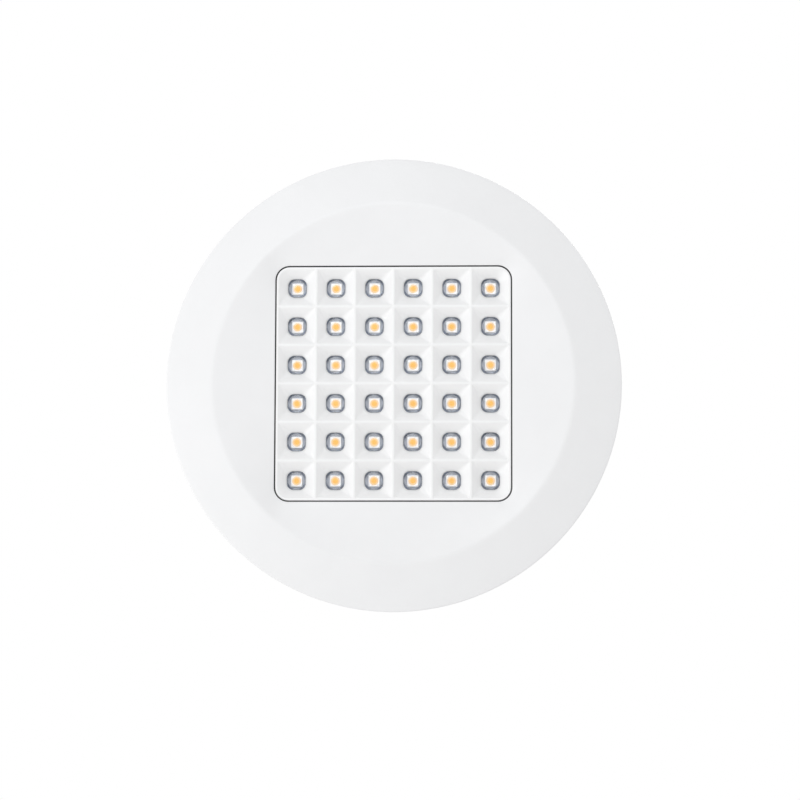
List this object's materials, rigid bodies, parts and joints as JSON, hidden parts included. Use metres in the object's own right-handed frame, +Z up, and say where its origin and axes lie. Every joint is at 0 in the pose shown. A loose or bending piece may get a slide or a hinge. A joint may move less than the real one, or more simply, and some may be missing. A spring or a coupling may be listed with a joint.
{
  "type": "recessed soffit downlight",
  "caption": "Round white recessed soffit downlight with a square louvred lens window, finned heat sink, sprung fixing clips and a driver box on top.",
  "frame": {"origin": "centre of the cut-out in the soffit's underside, where the top of the soffit gasket rests", "axes": "+Z up into the soffit, light leaves along -Z; the two spring clips are on +X and -X, and the cable gland points along -Y"},
  "size_m": [0.22, 0.22, 0.0888],
  "materials": {
    "trim_paint": "satin powder coat",
    "louvre_white": "satin moulded",
    "lens_clear": "clear polished",
    "seal_black": "matte",
    "foam_grey": "closed-cell foam",
    "cast_aluminium": "as cast",
    "board_white": "solder mask",
    "led_white": "moulded",
    "phosphor": "silicone with phosphor",
    "pad_grey": "thermal silicone",
    "connector_white": "moulded",
    "contact_brass": "tinned",
    "zinc_steel": "zinc plated",
    "spring_steel": "bright drawn",
    "box_grey": "fine moulded texture",
    "board_green": "solder mask",
    "ferrite": "fired ferrite",
    "tape_yellow": "insulating tape",
    "sleeve_black": "shrink sleeve",
    "film_red": "moulded",
    "terminal_green": "moulded",
    "lead_red": "silicone insulation",
    "lead_black": "silicone insulation",
    "gland_black": "moulded nylon"
  },
  "bodies": {
    "base": {"trim": "trim_paint", "louvre": "louvre_white", "lens_plate": "lens_clear", "window_gasket": "seal_black", "lens_seal": "seal_black", "driver_lid_seal": "seal_black", "gland_seal": "seal_black", "lead_grommet": "seal_black", "soffit_gasket": "foam_grey", "heat_sink": "cast_aluminium", "led_board": "board_white", "led_packages": "led_white", "led_phosphors": "phosphor", "thermal_pad": "pad_grey", "board_connector": "connector_white", "board_contacts": "contact_brass", "trim_screws": "zinc_steel", "clip_bracket_right": "zinc_steel", "clip_bracket_left": "zinc_steel", "clip_pin_right": "zinc_steel", "clip_pin_left": "zinc_steel", "clip_screws": "zinc_steel", "driver_box_screws": "zinc_steel", "driver_lid_screws": "zinc_steel", "clip_spring_right": "spring_steel", "clip_spring_left": "spring_steel", "driver_box": "box_grey", "driver_lid": "box_grey", "driver_board": "board_green", "transformer_core": "ferrite", "choke": "ferrite", "transformer_winding": "tape_yellow", "capacitors": "sleeve_black", "film_capacitor": "film_red", "supply_terminal": "terminal_green", "lead_positive": "lead_red", "lead_negative": "lead_black", "gland_body": "gland_black", "gland_nut": "gland_black", "gland_locknut": "gland_black"},
    "arm_right": {"clip_arm_right": "zinc_steel", "clip_foot_right": "seal_black"},
    "arm_left": {"clip_arm_left": "zinc_steel", "clip_foot_left": "seal_black"}
  },
  "joints": [
    {"name": "clip_right_hinge", "type": "hinge", "parent": "base", "child": "arm_right", "pos_m": [0.0861, 0, 0.028], "axis": [0, -1, 0], "range_deg": [0, 130], "stiffness_Nm_per_rad": 0.2, "springref_deg": -68.75, "deforming": ["clip_spring_right"]},
    {"name": "clip_left_hinge", "type": "hinge", "parent": "base", "child": "arm_left", "pos_m": [-0.0861, 0, 0.028], "axis": [0, 1, 0], "range_deg": [0, 130], "stiffness_Nm_per_rad": 0.2, "springref_deg": -68.75, "deforming": ["clip_spring_left"]}
  ]
}
